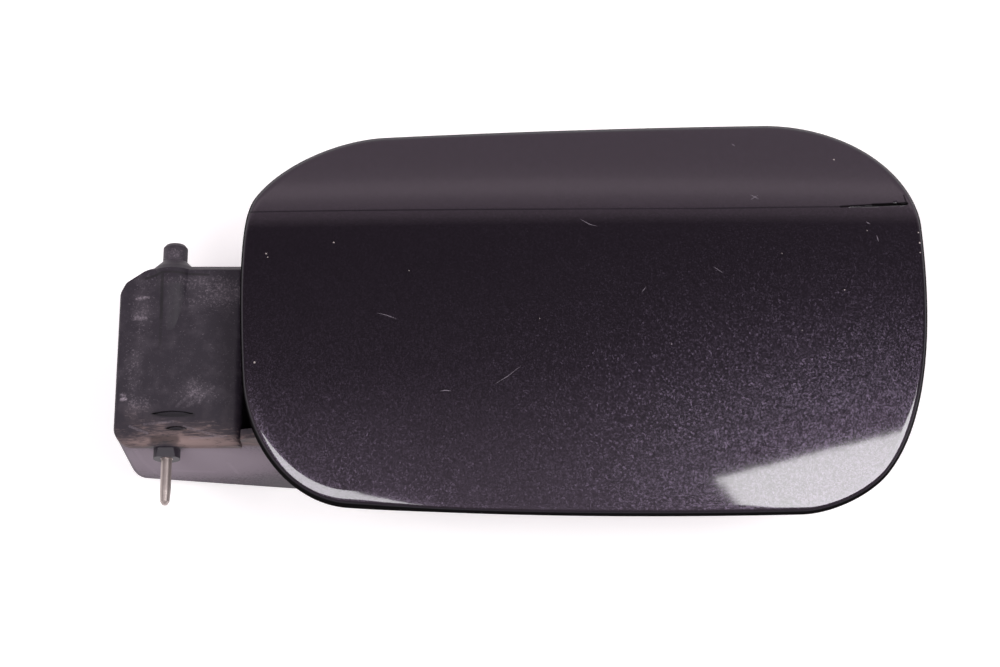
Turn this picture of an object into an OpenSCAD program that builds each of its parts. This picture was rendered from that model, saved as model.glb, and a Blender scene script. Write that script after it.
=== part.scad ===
/* [Painted panel] */
// Distance from the hinge axis to the panel's hinge-side edge
panel_gap = 21.5; // [18:0.5:26]
// Width of the panel, from the hinge side to the free side
panel_w = 189.6; // [170:0.2:210]
// Height of the panel
panel_h = 114; // [100:0.5:130]
// How far the panel's lower edge lies below the end of the pin boss
panel_drop = 19.4; // [10:0.2:30]
// Height of the panel's crown above the hinge axis
crown_z = 26; // [25:0.5:30]
// Wall of the panel
skin_t = 2; // [1.6:0.1:2.4]
// Radius of the rolled edge
roll_r = 2; // [1.6:0.1:2.6]
// Depth of the edge flange under the face
flange_h = 6.5; // [5:0.1:8]
// How far the flange leans in under the rolled edge, in degrees
flange_lean = 20; // [5:1:25]
// Lean of the facet above the crease, in degrees
upper_lean = 12; // [6:0.5:18]
// Bow radius of the facet above the crease
upper_bow = 300; // [200:10:900]
// Bow radius of the face below the crease
lower_bow = 520; // [400:10:1500]
// Bow radius of the face along its width
width_bow = 2200; // [1500:50:6000]
// Depth of the shadow notch at the free end of the crease
notch_depth = 0.8; // [0.3:0.1:1.2]
// Length of the shadow notch
notch_len = 17; // [10:0.5:30]

/* [Carrier] */
// Height of the carrier's underside above the hinge axis
carrier_z = 11.5; // [10.5:0.1:12.5]
// Thickness of the carrier's plate
carrier_t = 2.2; // [1.6:0.1:2.6]
// Distance from the panel's outline in to the carrier's edge
carrier_inset = 9; // [7:0.5:12]
// Height of the ribs under the carrier
rib_h = 3.2; // [2:0.1:4]
// Thickness of the ribs
rib_t = 1.6; // [1.2:0.1:2.2]

/* [Hinge arm] */
// Distance from the hinge axis back to the arm's end wall
arm_back = 14.6; // [12:0.1:18]
// Distance from the hinge axis forward to the end of the deck
deck_end = 21.2; // [18:0.1:21.4]
// Width of the arm along the hinge axis
arm_w = 52.7; // [48:0.1:60]
// Distance from the end of the pin boss to the arm's near wall
boss_stand = 3.3; // [2.5:0.1:5]
// Height of the deck's top above the hinge axis
deck_z = 5.2; // [4.8:0.1:6]
// Thickness of the deck and of the folded web
deck_t = 3; // [2.4:0.1:3.4]
// Thickness of the arm's side walls
arm_wall = 2.8; // [2:0.1:3.4]
// Overhang of the deck's lip beyond the near wall
lip = 0.8; // [0.4:0.1:1.4]
// Depth of the end wall under the hinge axis
arm_depth_back = 31.1; // [26:0.1:34]
// Depth of the arm's lowest point under the hinge axis
arm_depth = 46.3; // [42:0.1:50]
// Depth of the floor of the swan neck under the hinge axis
neck_depth = 12; // [8:0.5:16]
// Where the foot flange starts, measured from the hinge axis
foot_start = 44; // [42:0.5:48]
// Where the foot flange ends, measured from the hinge axis
foot_end = 84; // [78:0.5:90]
// How far the foot flange stands out beyond each side wall
foot_ear = 8.5; // [7.5:0.5:10]

/* [Pivots] */
// Radius of the moulded pivot stub
stub_r = 3.5; // [3:0.1:4]
// Length of the stub beyond the arm
stub_len = 7.4; // [6.5:0.1:11]
// Radius of the pin boss
boss_r = 3.75; // [3.4:0.05:4.2]
// Radius of the steel pin
pin_r = 1.5; // [1.2:0.05:1.8]
// Length of steel pin that stands out of the boss
pin_out = 13.2; // [10:0.1:15]
// Running clearance round the steel pin
pin_clear = 0.05; // [0.02:0.01:0.1]
// Radius of the spring chamber behind the pin's collar
chamber_r = 3.2; // [2.9:0.05:3.4]
// Length of the spring chamber
chamber_len = 27; // [24:0.5:30]
// Wire radius of the pin's spring
wire_r = 0.3; // [0.2:0.05:0.35]
// Turns of the pin's spring
spring_turns = 9; // [6:1:11]

/* [Latch striker and fasteners] */
// Reach of the striker's head under the hinge axis
striker_depth = 27; // [22:0.5:30]
// Radius of the striker's post
striker_r = 3.6; // [3:0.1:4.5]
// Length of the striker's cross head
head_len = 15; // [12:0.5:18]
// Radius of the screws' shanks
screw_r = 1.45; // [1.2:0.05:1.6]
// Radius of the rubber buffers
buffer_r = 5; // [4:0.25:6]
// Height of the rubber buffers
buffer_h = 5.5; // [4:0.25:8]

/* [Hidden] */
$fn = 48;
far = 400;

// Colours as the photograph shows them
paint = "#4c434b";
black_plastic = "#3a363a";
grey_plastic = "#2c2a2d";
steel = "#b9b6b4";
zinc = "#9c9a96";
rubber = "#1c1b1c";

// Curves
function toward(a, b, d) = a + (b - a) * d / norm(b - a);
function conic(a, v, b, w, n) = [for (k = [0 : n - 1]) let (t = k / n,
    q = pow(1 - t, 2) + 2 * w * t * (1 - t) + t * t)
    (pow(1 - t, 2) * a + 2 * w * t * (1 - t) * v + t * t * b) / q];
function unit(v) = v / norm(v);
function turn(v) = [-v.y, v.x];
// A polygon whose corners [x, y, r] are rounded by arcs
function corner_arc(a, p, b, r) = let (u = unit(a - p), v = unit(b - p), half = acos(u * v) / 2,
    reach = r / tan(half), c = p + unit(u + v) * r / sin(half), s = p + u * reach, e = p + v * reach,
    a0 = atan2(s.y - c.y, s.x - c.x), da = atan2(e.y - c.y, e.x - c.x) - a0,
    sweep = da > 180 ? da - 360 : da < -180 ? da + 360 : da, n = ceil(abs(sweep) / 10))
    [for (k = [0 : n]) c + r * [cos(a0 + sweep * k / n), sin(a0 + sweep * k / n)]];
function xy(p) = [p.x, p.y];
function rounded(pts) = [for (i = [0 : len(pts) - 1]) let (n = len(pts), p = pts[i],
    a = xy(pts[(i + n - 1) % n]), b = xy(pts[(i + 1) % n]))
    each (p[2] > 0 ? corner_arc(a, xy(p), b, p[2]) : [xy(p)])];

// The panel's box, and its outline at a distance m inside the edge: four guide corners and four
// side guides joined by conics, anticlockwise from the free side
x0 = panel_gap;
x1 = panel_gap + panel_w;
y0 = -panel_drop;
y1 = panel_h - panel_drop;
corner_w = 0.72;
corner_n = 9;
side_n = 5;
function panel_outline(m) = let (
    top_right = [x1 - 2.8 - m, y1 + 0.6 - m],
    top_left = [x0 + 13.9 + m, y1 - 5.8 - m],
    low_left = [x0 + 3.1 + m, y0 + 3.3 + m],
    low_right = [x1 - 21 - m, y0 - 0.2 + m],
    right_mid = [x1 + 2.8 - m, y0 + 29.2],
    top_mid = [(x0 + x1) / 2 - 1.6, y1 - 2.1 - m],
    left_mid = [x0 - 2.1 + m, y1 - 33.3],
    low_mid = [(x0 + x1) / 2 - 10, y0 - 2.6 + m],
    less = 0.4 * m,
    right_high = toward(top_right, right_mid, 34.9 - less),
    top_free = toward(top_right, top_mid, 40.7 - less),
    top_hinge = toward(top_left, top_mid, 25.2 - less),
    left_high = toward(top_left, left_mid, 22.2 - less),
    left_low = toward(low_left, left_mid, 32.5 - less),
    low_hinge = toward(low_left, low_mid, 27.2 - less),
    low_free = toward(low_right, low_mid, 15.3 - less),
    right_low = toward(low_right, right_mid, 14.2 - less))
    concat(
        conic(right_high, top_right, top_free, corner_w, corner_n),
        conic(top_free, top_mid, top_hinge, 1, side_n),
        conic(top_hinge, top_left, left_high, corner_w, corner_n),
        conic(left_high, left_mid, left_low, 1, side_n),
        conic(left_low, low_left, low_hinge, corner_w, corner_n),
        conic(low_hinge, low_mid, low_free, 1, side_n),
        conic(low_free, low_right, right_low, corner_w, corner_n),
        conic(right_low, right_mid, right_high, 1, side_n));
outline = panel_outline(0);
rim_n = len(outline);
// The crease runs between the second points of the free top corner and of the hinge side
crease_r = outline[1];
crease_l = outline[2 * corner_n + side_n + 1];
centre = (crease_l + crease_r) / 2;
crease_slope = (crease_r.y - crease_l.y) / (crease_r.x - crease_l.x);

// Face of the panel
function above_crease(p) = p.y - centre.y - crease_slope * (p.x - centre.x);
function face_z(p) = let (u = above_crease(p)) crown_z - pow(p.x - centre.x, 2) / (2 * width_bow)
    - (u > 0 ? tan(upper_lean) * u + u * u / (2 * upper_bow)
        : u * u / (2 * lower_bow) - 0.008 * u);
function out_dir(i) = -turn(unit(outline[(i + 1) % rim_n] - outline[(i + rim_n - 1) % rim_n]));
// Point of the rim moved in towards the centre, by distance d across the rim
function inset(i, d) = let (p = outline[i], v = unit(p - centre)) p - v * d / (v * out_dir(i));
function scaled(i, s) = centre + (outline[i] - centre) * s;
function at(p, z) = [p.x, p.y, z];

// Rings of the panel's skin, from the crown over the rolled edge and back under the face
face_rings = [0.18, 0.38, 0.58, 0.76, 0.9];
roll_steps = [90, 60, 30, 0, -flange_lean];
under_rings = [0.9, 0.62, 0.3];
// How far the flange's lip stands inside the outline
lip_in = roll_r * (1 - cos(flange_lean)) + (flange_h - roll_r * (1 + sin(flange_lean))) * tan(flange_lean);
corner_fill = 1.2;
skin_points = concat(
    [for (s = face_rings) for (i = [0 : rim_n - 1]) let (p = scaled(i, s)) at(p, face_z(p))],
    [for (a = roll_steps) for (i = [0 : rim_n - 1]) let (p = inset(i, roll_r * (1 - cos(a))))
        at(p, face_z(p) - roll_r * (1 - sin(a)))],
    [for (i = [0 : rim_n - 1]) at(inset(i, lip_in), face_z(outline[i]) - flange_h)],
    [for (i = [0 : rim_n - 1]) at(inset(i, lip_in + skin_t), face_z(outline[i]) - flange_h)],
    [for (i = [0 : rim_n - 1]) let (p = inset(i, roll_r + skin_t / 2)) at(p, face_z(p) - skin_t - corner_fill)],
    [for (i = [0 : rim_n - 1]) let (p = inset(i, roll_r + skin_t / 2 + corner_fill)) at(p, face_z(p) - skin_t)],
    [for (s = under_rings) for (i = [0 : rim_n - 1]) let (p = scaled(i, s)) at(p, face_z(p) - skin_t)],
    [at(centre, face_z(centre)), at(centre, face_z(centre) - skin_t)]);
ring_n = len(face_rings) + len(roll_steps) + 4 + len(under_rings);
skin_faces = concat(
    [for (i = [0 : rim_n - 1]) [ring_n * rim_n, (i + 1) % rim_n, i]],
    [for (r = [0 : ring_n - 2]) for (i = [0 : rim_n - 1]) let (j = (i + 1) % rim_n,
        a = r * rim_n, b = a + rim_n) each [[a + i, a + j, b + j], [a + i, b + j, b + i]]],
    [for (i = [0 : rim_n - 1]) let (a = (ring_n - 1) * rim_n)
        [a + i, a + (i + 1) % rim_n, ring_n * rim_n + 1]]);

// Levels, and the arm's two side walls
carrier_top = carrier_z + carrier_t;
near_y = boss_stand;
far_y = boss_stand + arm_w;
// The pin's shank inside the boss
shank_r = pin_r + 0.25;
fit = 0.05;
screw_head_r = 3.6;
screw_head_h = 1.9;
// Screws from the carrier up into towers under the panel; the first stands beside the arm's foot
tower_r = 4;
tower_spots = [[foot_start - 4, far_y + 5.7], [x0 + 90.5, y1 - 20.6], [x1 - 44, y1 - 20.6],
    [x1 - 19, y0 + 41.4], [x1 - 61, y0 + 16.4], [foot_end + 20, y0 + 49.4]];
tower_grip = 3.6;
// Rubber buffers near the carrier's corners
buffer_spots = [[foot_end + 8, y1 - 21.6], [x1 - 25, y1 - 28.6], [x1 - 31, y0 + 20.4],
    [foot_end + 15.5, y0 + 17.4]];
buffer_stem_r = 2.4;
// Arm screws through the foot flange
foot_t = 3;
foot_z = carrier_z - foot_t;
arm_spots = [for (y = [near_y - foot_ear / 2, far_y + foot_ear / 2])
    for (x = [foot_start + 5.5, foot_end - 5.5]) [x, y]];
arm_boss_r = 4;
arm_boss_h = 3;
// Ribs under the carrier stop short of what is screwed or pressed on
rib_pitch = 19;
rib_gap = 1.7;
// Striker
striker_x = x1 - 39;
striker_y = y0 + 59.4;
striker_base = [30, 16];
striker_base_t = 2.6;
striker_base_r = 4;
striker_hole = 10.5;
striker_head_h = 4;
striker_flare = 2.4;
striker_flare_h = 5;
striker_spots = [[striker_x - striker_hole, striker_y], [striker_x + striker_hole, striker_y]];

module along_y(from, to) { translate([0, to, 0]) rotate([90, 0, 0]) linear_extrude(to - from) children(); }
module along_x(from, to) { translate([from, 0, 0]) rotate([90, 0, 90]) linear_extrude(to - from) children(); }
module rod(r, from, to) { translate([0, from, 0]) rotate([-90, 0, 0]) cylinder(r = r, h = to - from); }
// A turned piece whose profile is a list of [radius, distance along +Y]
module turned(profile) { rotate([-90, 0, 0]) rotate_extrude() polygon(profile); }

// Painted skin with its rolled edge, flange and screw towers
module outer_panel() {
    color(paint) difference() {
        union() {
            polyhedron(skin_points, skin_faces);
            for (p = tower_spots) translate([p.x, p.y, carrier_top])
                cylinder(r = tower_r, h = face_z(p) - skin_t / 2 - carrier_top);
        }
        for (p = tower_spots) translate([p.x, p.y, carrier_top - 1])
            cylinder(r = screw_r + fit, h = tower_grip + 1.6);
        crease_notch();
    }
}

// Shadow notch that opens along the free end of the crease
module crease_notch() {
    end = toward(crease_r, crease_l, 1.6);
    start = toward(end, crease_l, notch_len);
    tip_z = face_z(end);
    translate([0, 0, tip_z - notch_depth]) linear_extrude(5)
        polygon([start, end + [0, -0.9], end + [0, 0.15]]);
}

// Ribbed plate that stiffens the skin and carries the arm, the striker and the buffers
module inner_carrier() {
    rim = panel_outline(carrier_inset);
    color(grey_plastic) difference() {
        union() {
            translate([0, 0, carrier_z]) linear_extrude(carrier_t) polygon(rim);
            carrier_ribs(rim);
            for (p = arm_spots) boss_up(p, arm_boss_r, arm_boss_h);
            for (p = striker_spots) boss_up(p, arm_boss_r, arm_boss_h + 2);
        }
        for (p = tower_spots) through(p, screw_r + 0.25);
        for (p = arm_spots) through(p, screw_r + fit);
        for (p = striker_spots) through(p, screw_r + fit);
        for (p = buffer_spots) through(p, buffer_stem_r + fit);
    }
}
module boss_up(p, r, h) { translate([p.x, p.y, carrier_z + 1]) cylinder(r = r, h = carrier_t + h - 1); }
module through(p, r) { translate([p.x, p.y, carrier_z - 10]) cylinder(r = r, h = 30); }
// A rim bead and a grid of ribs under the plate, kept clear of what is screwed or pressed on
module carrier_ribs(rim) {
    rim_in = panel_outline(carrier_inset + rib_t);
    across = floor((x1 - x0) / rib_pitch);
    up = floor((y1 - y0) / rib_pitch);
    difference() {
        translate([0, 0, carrier_z - rib_h]) linear_extrude(rib_h + 1) intersection() {
            polygon(rim);
            union() {
                difference() {
                    polygon(rim);
                    polygon(rim_in);
                }
                for (k = [1 : across - 1]) translate([x0 + k * rib_pitch, y0]) square([rib_t, y1 - y0]);
                for (k = [1 : up]) translate([x0, y0 + k * rib_pitch - 2]) square([x1 - x0, rib_t]);
            }
        }
        translate([x0 - rib_gap, near_y - foot_ear - rib_gap, 0])
            cube([foot_end + 2 * rib_gap - x0, arm_w + 2 * foot_ear + 2 * rib_gap, carrier_z]);
        translate([striker_x - striker_base.x / 2 - rib_gap, striker_y - striker_base.y / 2 - rib_gap, 0])
            cube([striker_base.x + 2 * rib_gap, striker_base.y + 2 * rib_gap, carrier_z]);
        for (p = buffer_spots) translate([p.x, p.y, 0]) cylinder(r = buffer_r + rib_gap, h = carrier_z);
        for (p = tower_spots) translate([p.x, p.y, 0]) cylinder(r = screw_head_r + rib_gap, h = carrier_z);
    }
}

// Moulded swan-neck arm; what hangs under the deck laps into it
lap = 0.35;
deck_under = deck_z - deck_t;
near_corner_r = 5.5;
// The far corner behind the stub is cut back in two steps
far_corner = [[-3.2, far_y, 3], [-8, far_y - 2.2, 4], [1.7 - arm_back, far_y - 5.6, 3],
    [-arm_back, far_y - 9, 2]];
plan = concat([[-arm_back, near_y, near_corner_r - lip], [foot_end, near_y, 0], [foot_end, far_y, 0]],
    far_corner);
plan_in = [[arm_wall - arm_back, near_y + arm_wall, near_corner_r - arm_wall],
    [foot_end + 1, near_y + arm_wall, 0], [foot_end + 1, far_y - arm_wall, 0],
    [-2.6, far_y - arm_wall, 1], [-6.8, far_y - arm_wall - 1.9, 1],
    [arm_wall - arm_back, far_y - arm_wall - 6.9, 1]];
// The keel is the lowest point of the side walls; from the heel they rise to the foot
keel_x = 40;
keel_r = 22;
heel_x = 62;
heel_up = 12;
heel_r = 36;
back_r = 5;
shoulder = 3.5;
side = [[-arm_back, -arm_depth_back, back_r], [keel_x, -arm_depth, keel_r],
    [heel_x, heel_up - arm_depth, heel_r], [foot_end, foot_z - 5, 4], [foot_end, carrier_z, 0],
    [30, carrier_z, 2], [deck_end, deck_z + shoulder, 1], [deck_end, deck_under + lap, 0],
    [-arm_back, deck_under + lap, 0]];
web_x = deck_end - deck_t;
web = [[web_x, deck_under + lap, 0], [web_x, -neck_depth - deck_t, 4],
    [foot_start - 3, -neck_depth - deck_t, 6], [foot_start + 8, foot_z, 1], [foot_start + 8, carrier_z, 0],
    [foot_start + 2.5, carrier_z, 0], [foot_start - 5.2, -neck_depth, 4], [deck_end, -neck_depth, 3],
    [deck_end, deck_under + lap, 0]];
rib_ys = [near_y + 16, far_y - 13.3];
cross_xs = [8, 33];

module hinge_arm() {
    color(black_plastic) difference() {
        union() {
            deck();
            intersection() {
                translate([0, 0, -far / 2]) linear_extrude(far) difference() {
                    polygon(rounded(plan));
                    polygon(rounded(plan_in));
                }
                along_y(near_y - 1, far_y + 1) polygon(rounded(side));
            }
            along_y(near_y + arm_wall / 2, far_y - arm_wall / 2) polygon(rounded(web));
            arm_ribs();
            foot();
            pin_barrel();
            stub_barrel();
        }
        pin_passage();
        deck_pockets();
        lip_relief();
        for (p = arm_spots) through(p, screw_r + 0.25);
    }
}
module deck() {
    r = 1.2;
    intersection() {
        translate([0, 0, deck_under]) linear_extrude(deck_t) polygon(rounded([
            [-arm_back, near_y - lip, near_corner_r], [deck_end, near_y - lip, 0], [deck_end, far_y, 0],
            each far_corner]));
        along_x(-arm_back, deck_end) polygon(rounded([[near_y - lip, deck_under, 0],
            [far_y, deck_under, 0], [far_y, deck_z - 1.8, 0.5], [far_y - 1.6, deck_z, 0.8],
            [near_y - lip, deck_z, r]]));
        along_y(near_y - lip, far_y) polygon(rounded([[-arm_back, deck_under, 0],
            [deck_end, deck_under, 0], [deck_end, deck_z, 2.6], [-arm_back, deck_z, r]]));
    }
}
module arm_ribs() {
    rib_up = 4;
    rib_side = [[arm_wall / 2 - arm_back, rib_up - arm_depth_back, back_r],
        [keel_x, rib_up - arm_depth, keel_r], [heel_x - 1, heel_up + rib_up - arm_depth, heel_r],
        [foot_end - 3, foot_z - 1, 0], [foot_start + 4, foot_z + 1, 0],
        [foot_start - 2, -neck_depth - 1, 0], [deck_end - 1, -neck_depth - 1, 0],
        [deck_end - 1, deck_under + lap, 0], [arm_wall / 2 - arm_back, deck_under + lap, 0]];
    for (y = rib_ys) along_y(y, y + rib_t) polygon(rounded(rib_side));
    intersection() {
        for (x = cross_xs) along_x(x, x + rib_t)
            translate([near_y + 1, -arm_depth]) square([arm_w - 2, arm_depth + deck_under + lap]);
        along_y(near_y, far_y) polygon(rounded(rib_side));
    }
}
module foot() {
    difference() {
        translate([foot_start, near_y - foot_ear, foot_z]) linear_extrude(foot_t) polygon(rounded([
            [0, 0, 5], [foot_end - foot_start, 0, 5], [foot_end - foot_start, arm_w + 2 * foot_ear, 5],
            [0, arm_w + 2 * foot_ear, 5]]));
        translate([foot_start + 14, near_y + 8, foot_z - 1])
            cube([foot_end - foot_start - 22, arm_w - 16, foot_t + 2]);
    }
}
barrel_r = chamber_r + 1.8;
shoulder_y = 6;
chamber_end = shoulder_y + chamber_len;
module pin_barrel() {
    difference() {
        rod(boss_r, 0, shoulder_y + 2);
        // Lead-in flat on top of the boss
        translate([0, 0, boss_r]) rotate([11, 0, 0]) translate([-5, -4, -1.1]) cube([10, 9.6, 4]);
    }
    rod(barrel_r, near_y + 1, chamber_end);
    along_y(near_y + 1, chamber_end) translate([-barrel_r, 0]) square([2 * barrel_r, deck_under + lap]);
}
module stub_barrel() {
    thick = boss_r + 3.1;
    collar = 6;
    chamfer = 1.4;
    flare = 2.3;
    tip = 0.9;
    turned([[0, chamber_end + 2.5], [boss_r + 1.4, chamber_end + 2.5], [thick, far_y - collar],
        [thick, far_y - chamfer], [thick - 1, far_y], [stub_r, far_y + flare],
        [stub_r, far_y + stub_len - tip], [stub_r - 0.7, far_y + stub_len], [0, far_y + stub_len]]);
}
module pin_passage() {
    rod(shank_r + pin_clear, -1, shoulder_y + 1);
    rod(chamber_r, shoulder_y, chamber_end + 1);
}
module lens(length, width, x, y) {
    r = (length * length / 4 + width * width / 4) / width;
    translate([x, y, deck_z - pocket_depth]) linear_extrude(deck_z) intersection() {
        translate([0, r - width / 2]) circle(r = r, $fn = 96);
        translate([0, width / 2 - r]) circle(r = r, $fn = 96);
    }
}
pocket_depth = 1.4;
module deck_pockets() {
    lens(12, 1.8, 1.8, 11.7);
    lens(6, 1.3, 3, 7.5);
}
// The near wall is relieved under the deck's lip, between the corner and the boss
module lip_relief() {
    translate([4 - arm_back, near_y - lip - 1, deck_under - 2.6])
        cube([arm_back - 4 - boss_r - 0.5, lip + 2.2, 2.6]);
}

// Turned steel pin: its free end, the thicker shank that the boss guides, its collar and its tail
collar_y = shoulder_y + 0.1;
collar_t = 1.6;
tail_len = 6;
module hinge_pin() {
    tip = 0.9;
    taper = 4;
    collar_r = chamber_r - 0.2;
    collar_end = collar_y + collar_t;
    color(steel) turned([[0, -pin_out], [pin_r - 0.8, -pin_out], [pin_r - 0.2, tip - pin_out],
        [pin_r, taper - pin_out], [pin_r, 0], [shank_r, 0], [shank_r, collar_y], [collar_r, collar_y],
        [collar_r, collar_end], [shank_r, collar_end], [shank_r, collar_end + tail_len],
        [0, collar_end + tail_len]]);
}

// Coil spring between the collar and the plug
plug_len = 4;
spring_mean_r = chamber_r - wire_r - 0.35;
spring_from = collar_y + collar_t + wire_r + 0.15;
spring_to = chamber_end - plug_len - wire_r - 0.15;
module pin_spring() {
    steps = 14;
    sides = 6;
    n = spring_turns * steps;
    pts = [for (k = [0 : n]) let (a = 360 * k / steps, y = spring_from + (spring_to - spring_from) * k / n,
        out = [cos(a), 0, sin(a)]) for (s = [0 : sides - 1]) let (b = 360 * s / sides)
        out * (spring_mean_r + wire_r * cos(b)) + [0, y + wire_r * sin(b), 0]];
    faces = concat([[for (s = [0 : sides - 1]) s]],
        [for (k = [0 : n - 1]) for (s = [0 : sides - 1]) let (a = k * sides, t = (s + 1) % sides)
            each [[a + s, a + sides + s, a + sides + t], [a + s, a + sides + t, a + t]]],
        [[for (s = [0 : sides - 1]) n * sides + sides - 1 - s]]);
    color(zinc) polyhedron(pts, faces);
}

// Plug that closes the spring chamber, with a spigot in the coil and a blind hole behind
module spring_plug() {
    spigot = 1.8;
    face = chamber_end - plug_len;
    color(grey_plastic) difference() {
        turned([[0, face - spigot], [1.2, face - spigot], [spring_mean_r - wire_r - 0.3, face],
            [chamber_r - fit, face], [chamber_r - fit, chamber_end], [0, chamber_end]]);
        rod(1.3, face + 1.2, chamber_end + 1);
    }
}

// Striker post with its cross head, on a screwed base
module latch_striker() {
    base_z = carrier_z - striker_base_t;
    neck_z = striker_head_h - striker_depth;
    color(grey_plastic) difference() {
        union() {
            translate([striker_x - striker_base.x / 2, striker_y - striker_base.y / 2, base_z])
                linear_extrude(striker_base_t) polygon(rounded([[0, 0, striker_base_r],
                    [striker_base.x, 0, striker_base_r], [striker_base.x, striker_base.y, striker_base_r],
                    [0, striker_base.y, striker_base_r]]));
            translate([striker_x, striker_y, neck_z - 1]) cylinder(r = striker_r, h = base_z - neck_z + 1.5);
            translate([striker_x, striker_y, base_z - striker_flare_h])
                cylinder(r1 = striker_r, r2 = striker_r + striker_flare, h = striker_flare_h);
            // Stiffening fins on the post
            for (a = [0, 90]) translate([striker_x, striker_y, 0]) rotate([0, 0, a])
                along_y(-0.8, 0.8) polygon([[-striker_r - 0.1, neck_z], [striker_r + 0.1, neck_z],
                    [striker_r + striker_flare, base_z + 0.5],
                    [-striker_r - striker_flare, base_z + 0.5]]);
            // Cross head
            translate([striker_x, 0, 0]) along_y(striker_y - head_len / 2, striker_y + head_len / 2)
                polygon(rounded([[-striker_r, neck_z, 0.8], [-striker_r, -striker_depth + 2, 0],
                    [-striker_r + 1.6, -striker_depth, 0.4], [striker_r - 1.6, -striker_depth, 0.4],
                    [striker_r, -striker_depth + 2, 0], [striker_r, neck_z, 0.8]]));
        }
        for (p = striker_spots) through(p, screw_r + 0.25);
    }
}

// Rubber buffer, pressed through the carrier
module buffer(p) {
    nose = 2;
    barb = 0.7;
    barb_h = 1.6;
    color(rubber) translate([p.x, p.y, carrier_z]) rotate_extrude() polygon([
        [0, -buffer_h], [buffer_r - 1.6, -buffer_h], [buffer_r, nose - buffer_h], [buffer_r, 0],
        [buffer_stem_r, 0], [buffer_stem_r, carrier_t], [buffer_stem_r + barb, carrier_t],
        [buffer_stem_r - barb, carrier_t + barb_h], [0, carrier_t + barb_h]]);
}

// Pan-head screw that stands on its head, with a six-lobe socket
module screw(p, seat, length) {
    socket_r = 1.5;
    socket_depth = 1.1;
    crown = 0.8;
    point = 0.8;
    color(zinc) translate([p.x, p.y, seat]) difference() {
        rotate_extrude() polygon([[0, -screw_head_h], [screw_head_r - crown, -screw_head_h],
            [screw_head_r, crown - screw_head_h], [screw_head_r, 0], [screw_r, 0],
            [screw_r, length - point], [screw_r - point / 2, length], [0, length]]);
        translate([0, 0, -screw_head_h - 1]) cylinder(r = socket_r, h = socket_depth + 1, $fn = 6);
    }
}
module arm_screw(i) { screw(arm_spots[i], foot_z, foot_t + carrier_t + arm_boss_h - 0.6); }
module striker_screw(i) {
    screw(striker_spots[i], carrier_z - striker_base_t, striker_base_t + carrier_t + arm_boss_h + 1);
}
module panel_screw(i) { screw(tower_spots[i], carrier_z, carrier_t + tower_grip); }

outer_panel();
inner_carrier();
hinge_arm();
hinge_pin();
pin_spring();
spring_plug();
latch_striker();
buffer(buffer_spots[0]);  // buffer_1
buffer(buffer_spots[1]);  // buffer_2
buffer(buffer_spots[2]);  // buffer_3
buffer(buffer_spots[3]);  // buffer_4
arm_screw(0);  // arm_screw_1
arm_screw(1);  // arm_screw_2
arm_screw(2);  // arm_screw_3
arm_screw(3);  // arm_screw_4
striker_screw(0);  // striker_screw_1
striker_screw(1);  // striker_screw_2
panel_screw(0);  // panel_screw_1
panel_screw(1);  // panel_screw_2
panel_screw(2);  // panel_screw_3
panel_screw(3);  // panel_screw_4
panel_screw(4);  // panel_screw_5
panel_screw(5);  // panel_screw_6
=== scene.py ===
"""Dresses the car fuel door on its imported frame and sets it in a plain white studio."""

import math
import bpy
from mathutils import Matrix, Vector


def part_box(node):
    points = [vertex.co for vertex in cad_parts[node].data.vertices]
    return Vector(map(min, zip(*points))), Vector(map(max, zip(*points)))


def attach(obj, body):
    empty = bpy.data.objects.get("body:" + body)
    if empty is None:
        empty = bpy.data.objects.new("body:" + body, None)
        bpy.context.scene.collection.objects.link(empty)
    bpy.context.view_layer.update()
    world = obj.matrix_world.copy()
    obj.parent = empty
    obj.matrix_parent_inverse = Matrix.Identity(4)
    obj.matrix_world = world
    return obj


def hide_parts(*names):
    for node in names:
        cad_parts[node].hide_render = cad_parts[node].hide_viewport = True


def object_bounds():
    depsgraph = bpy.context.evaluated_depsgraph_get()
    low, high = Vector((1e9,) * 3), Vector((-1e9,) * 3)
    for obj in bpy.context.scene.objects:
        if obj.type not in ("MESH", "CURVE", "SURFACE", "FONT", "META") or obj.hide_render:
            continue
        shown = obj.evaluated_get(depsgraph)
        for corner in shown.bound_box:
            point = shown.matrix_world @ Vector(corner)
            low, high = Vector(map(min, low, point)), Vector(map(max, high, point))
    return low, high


bl_info = {
    "name": "Fuel door studio",
    "version": (1, 0, 0),
    "blender": (4, 5, 0),
    "location": "3D View > Sidebar > Fuel door",
    "description": "Builds the lacquered fuel door, its worn hinge arm and its studio",
    "category": "Object",
}

import bmesh
import bpy
from mathutils import Matrix, Vector

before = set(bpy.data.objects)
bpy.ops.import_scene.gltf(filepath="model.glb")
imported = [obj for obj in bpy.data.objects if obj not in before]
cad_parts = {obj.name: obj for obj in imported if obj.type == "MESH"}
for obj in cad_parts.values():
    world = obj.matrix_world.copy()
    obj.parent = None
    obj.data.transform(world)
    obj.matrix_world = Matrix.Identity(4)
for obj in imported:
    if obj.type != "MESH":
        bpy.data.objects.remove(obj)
CAD_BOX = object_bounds()
MM = 0.001
# Strength of the room's light, without the softboxes
ROOM_LIGHT = 1.75
BODY = "door"
# Points closer than this, in metres, are one
TOUCH = 1e-6

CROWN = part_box("outer_panel")[1].z
# The arm's front wall lies this far behind the boss's face, in mm
FRONT_WALL = 3.3


def linear(hex_colour, alpha=1.0):
    """An sRGB hex colour as the linear RGBA that Blender's sockets expect."""
    channels = []
    for k in (1, 3, 5):
        c = int(hex_colour[k:k + 2], 16) / 255
        channels.append(c / 12.92 if c <= 0.04045 else ((c + 0.055) / 1.055) ** 2.4)
    return (*channels, alpha)


# The studio's walls cast a faint pink
ROOM_CAST = linear("#ffecf7")


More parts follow.
